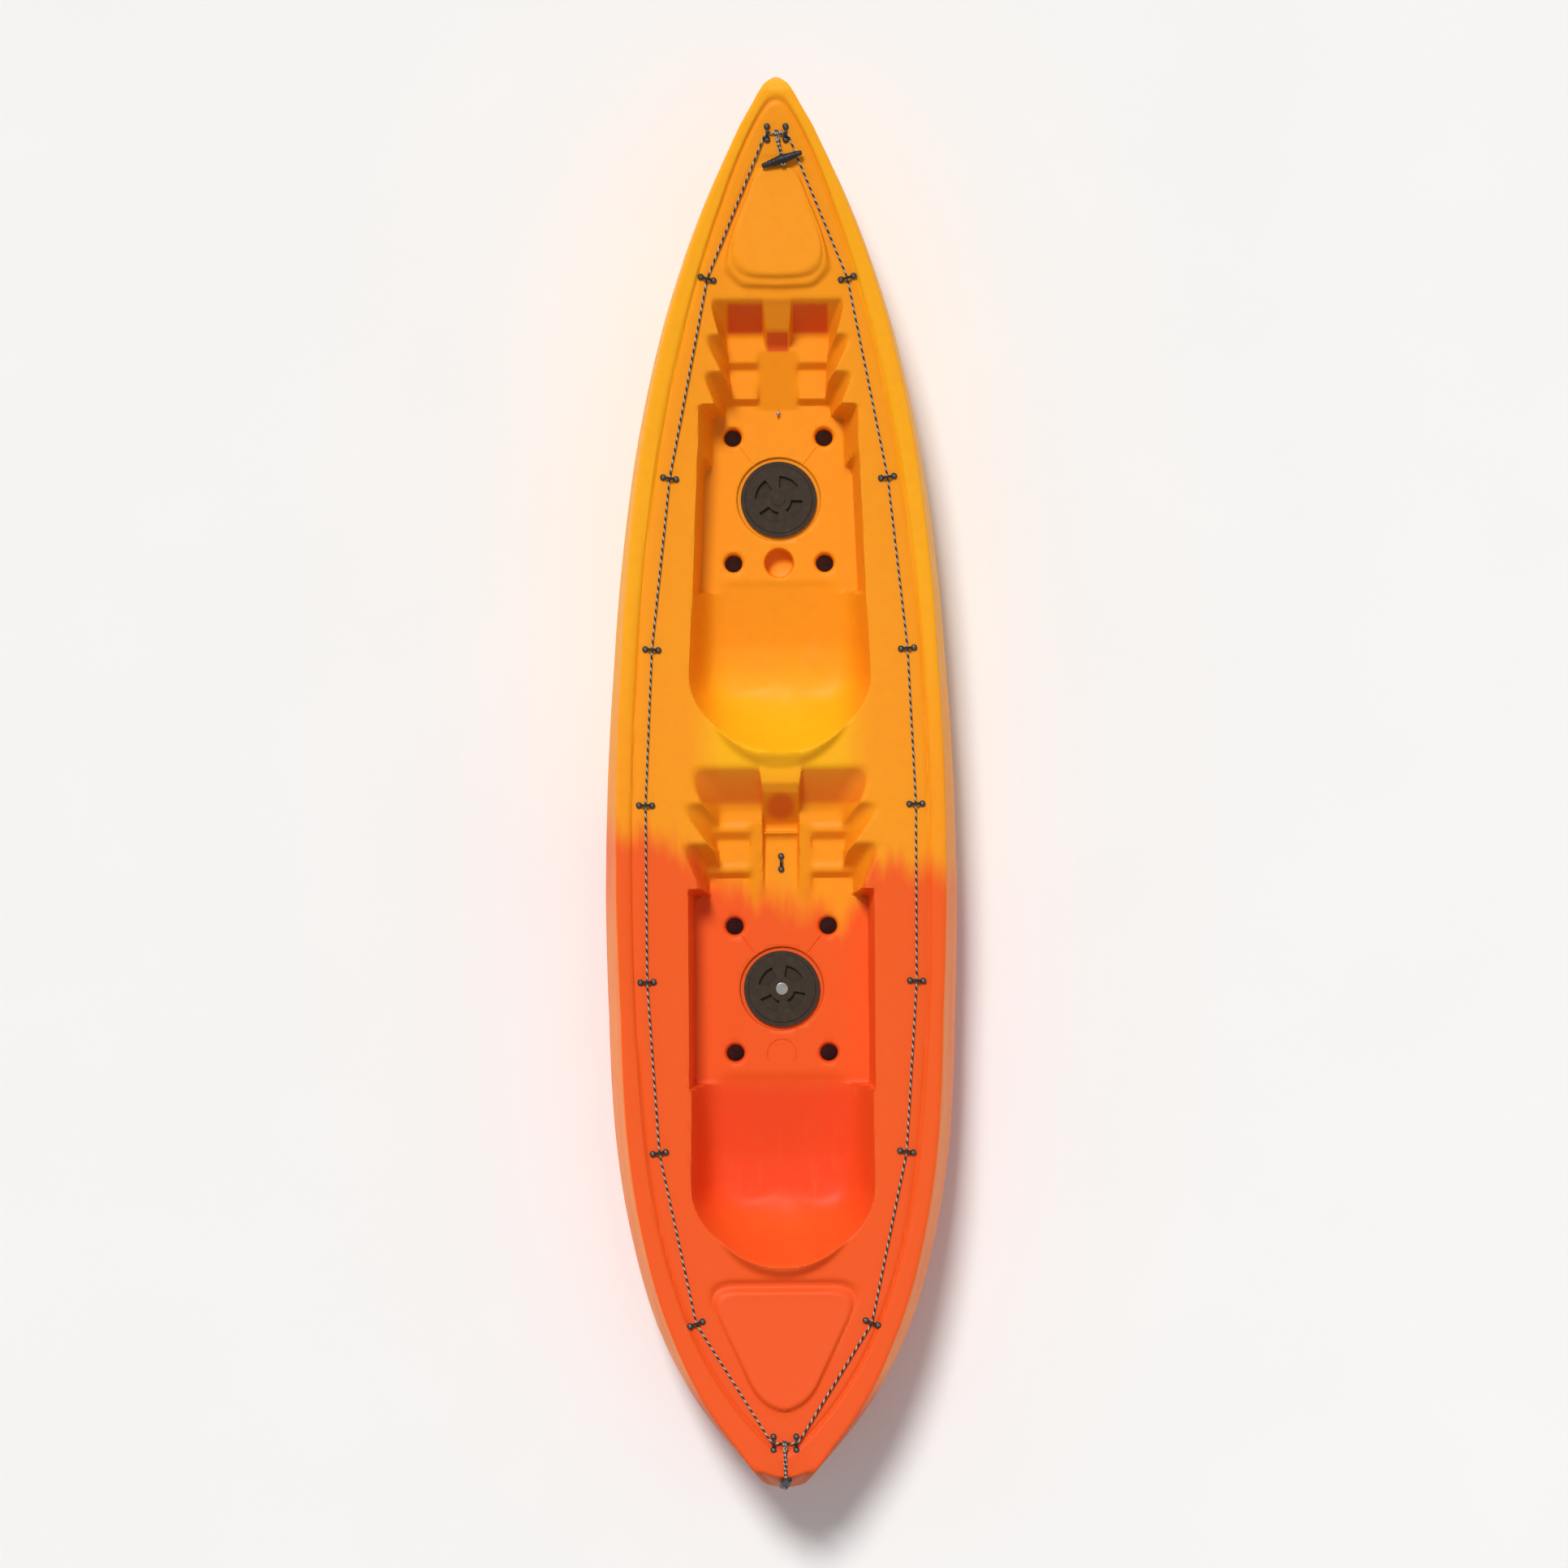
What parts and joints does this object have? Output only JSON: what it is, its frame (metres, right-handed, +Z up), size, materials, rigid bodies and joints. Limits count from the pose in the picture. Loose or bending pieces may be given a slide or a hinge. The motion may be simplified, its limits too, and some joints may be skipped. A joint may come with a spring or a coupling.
{
  "type": "kayak",
  "caption": "Tandem sit-on-top kayak: hollow moulded hull with footwells, seat bowls and drain tubes, round screw hatches, a deck line through pad eyes, and a carrying toggle at each end.",
  "frame": {"origin": "under the middle of the hull, on the flat of its bottom", "axes": "+Y to the bow, +X to starboard, +Z up"},
  "size_m": [0.9058, 3.66, 0.4186],
  "materials": {
    "hull_plastic": "satin rotomoulded polyethylene, yellow-orange at the bow fading to orange-red at the stern",
    "hatch_plastic": "satin moulded, charcoal brown",
    "pad_eye_nylon": "satin moulded, black",
    "toggle_plastic": "satin moulded, black",
    "seal_rubber": "matte",
    "stainless_steel": "satin",
    "deck_line": "braided black cord with off-white flecks",
    "toggle_rope": "twisted black and white rope",
    "rope_end": "off-white rope end"
  },
  "bodies": {
    "hull": {"hull_shell": "hull_plastic", "front_hatch_ring": "hatch_plastic", "rear_hatch_ring": "hatch_plastic", "front_hatch_ring_screws": "stainless_steel", "rear_hatch_ring_screws": "stainless_steel", "port_pad_eye_1": "pad_eye_nylon", "port_pad_eye_2": "pad_eye_nylon", "port_pad_eye_3": "pad_eye_nylon", "port_pad_eye_4": "pad_eye_nylon", "port_pad_eye_5": "pad_eye_nylon", "port_pad_eye_6": "pad_eye_nylon", "port_pad_eye_7": "pad_eye_nylon", "starboard_pad_eye_1": "pad_eye_nylon", "starboard_pad_eye_2": "pad_eye_nylon", "starboard_pad_eye_3": "pad_eye_nylon", "starboard_pad_eye_4": "pad_eye_nylon", "starboard_pad_eye_5": "pad_eye_nylon", "starboard_pad_eye_6": "pad_eye_nylon", "starboard_pad_eye_7": "pad_eye_nylon", "bow_pad_eye_port": "pad_eye_nylon", "bow_pad_eye_starboard": "pad_eye_nylon", "stern_pad_eye_port": "pad_eye_nylon", "stern_pad_eye_starboard": "pad_eye_nylon", "rear_center_pad_eye": "pad_eye_nylon", "port_pad_eye_screws": "stainless_steel", "starboard_pad_eye_screws": "stainless_steel", "bow_pad_eye_screws": "stainless_steel", "stern_pad_eye_screws": "stainless_steel", "rear_center_pad_eye_screws": "stainless_steel", "front_center_eye": "stainless_steel", "perimeter_line": "deck_line", "bow_line_knot": "deck_line"},
    "front_lid": {"front_hatch_lid": "hatch_plastic", "front_hatch_center_cap": "hatch_plastic", "front_hatch_seal": "seal_rubber"},
    "rear_lid": {"rear_hatch_lid": "hatch_plastic", "rear_hatch_center_screw": "stainless_steel", "rear_hatch_seal": "seal_rubber"},
    "bow_toggle": {"bow_toggle_handle": "toggle_plastic", "bow_toggle_rope": "toggle_rope", "bow_toggle_knot": "rope_end"},
    "stern_toggle": {"stern_toggle_handle": "toggle_plastic", "stern_toggle_rope": "toggle_rope", "stern_toggle_knot": "rope_end"}
  },
  "joints": [
    {"name": "front_hatch_lift", "type": "slide", "parent": "hull", "child": "front_lid", "axis": [0, 0, 1], "range_m": [0, 0.18]},
    {"name": "rear_hatch_lift", "type": "slide", "parent": "hull", "child": "rear_lid", "axis": [0, 0, 1], "range_m": [0, 0.18]},
    {"name": "bow_toggle_swing", "type": "hinge", "parent": "hull", "child": "bow_toggle", "pos_m": [0, 1.679, 0.38131], "axis": [-1, 0, 0], "range_deg": [0, 150]},
    {"name": "stern_toggle_swing", "type": "hinge", "parent": "hull", "child": "stern_toggle", "pos_m": [0, -1.702, 0.35794], "axis": [-1, 0, 0], "range_deg": [0, 135]}
  ]
}
